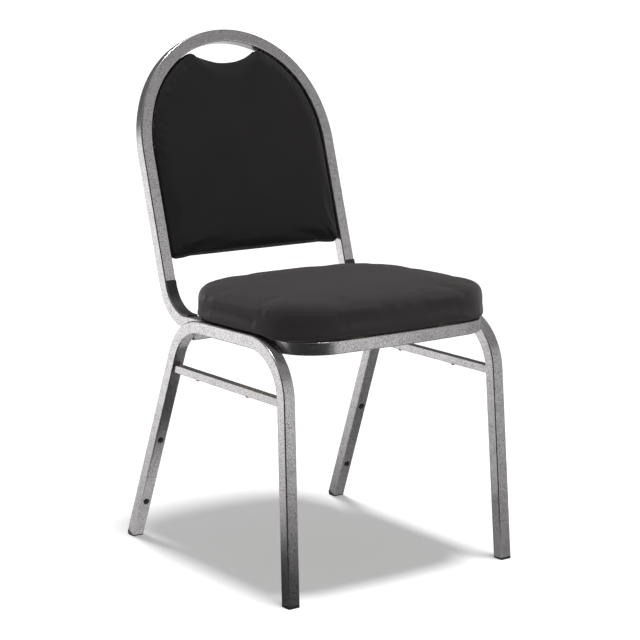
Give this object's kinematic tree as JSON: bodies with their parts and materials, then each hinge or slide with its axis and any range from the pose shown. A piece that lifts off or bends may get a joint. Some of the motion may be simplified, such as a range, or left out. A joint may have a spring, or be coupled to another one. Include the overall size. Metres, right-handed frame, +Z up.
{
  "type": "stacking banquet chair",
  "caption": "Armless stacking chair with a bent square-tube steel frame, rounded hoop back with a scooped handhold, padded back and thick padded seat.",
  "frame": {"origin": "on the floor, under the middle of the overall width and depth", "axes": "+Z up, -Y towards the front of the seat, +X towards the right of someone facing the front of the chair"},
  "size_m": [0.479, 0.5791, 0.913],
  "materials": {
    "frame_coat": "silver-vein powder coat, semi-gloss, mottled light and dark grey",
    "black_plastic": "moulded black polypropylene, satin",
    "rubber": "soft black rubber",
    "plywood": "plain birch plywood",
    "foam": "open-cell upholstery foam",
    "upholstery": "tightly woven near-black upholstery cloth, slightly warm",
    "lining": "thin black non-woven lining",
    "zinc": "bright zinc-plated steel"
  },
  "bodies": {
    "root": {"back_board": "plywood", "back_cover": "upholstery", "back_foam": "foam", "back_frame": "frame_coat", "back_rear_panel": "upholstery", "back_screws": "zinc", "back_tab_left_lower": "frame_coat", "back_tab_left_upper": "frame_coat", "back_tab_right_lower": "frame_coat", "back_tab_right_upper": "frame_coat", "back_tee_nuts": "zinc", "bend_guard_left": "black_plastic", "bend_guard_right": "black_plastic", "foot_glide_left_front": "black_plastic", "foot_glide_left_rear": "black_plastic", "foot_glide_right_front": "black_plastic", "foot_glide_right_rear": "black_plastic", "leg_bumper_left_lower": "rubber", "leg_bumper_left_upper": "rubber", "leg_bumper_right_lower": "rubber", "leg_bumper_right_upper": "rubber", "leg_frame_left": "frame_coat", "leg_frame_right": "frame_coat", "rear_cross_rail": "frame_coat", "seat_board": "plywood", "seat_cover": "upholstery", "seat_dust_cover": "lining", "seat_foam": "foam", "seat_front_rail": "frame_coat", "seat_screws": "zinc", "seat_tab_left_front": "frame_coat", "seat_tab_left_rear": "frame_coat", "seat_tab_right_front": "frame_coat", "seat_tab_right_rear": "frame_coat", "seat_tee_nuts": "zinc", "seat_washers": "zinc", "side_stretcher_left": "frame_coat", "side_stretcher_right": "frame_coat", "stretcher_bumper_left_front": "rubber", "stretcher_bumper_left_rear": "rubber", "stretcher_bumper_right_front": "rubber", "stretcher_bumper_right_rear": "rubber"}
  },
  "joints": []
}
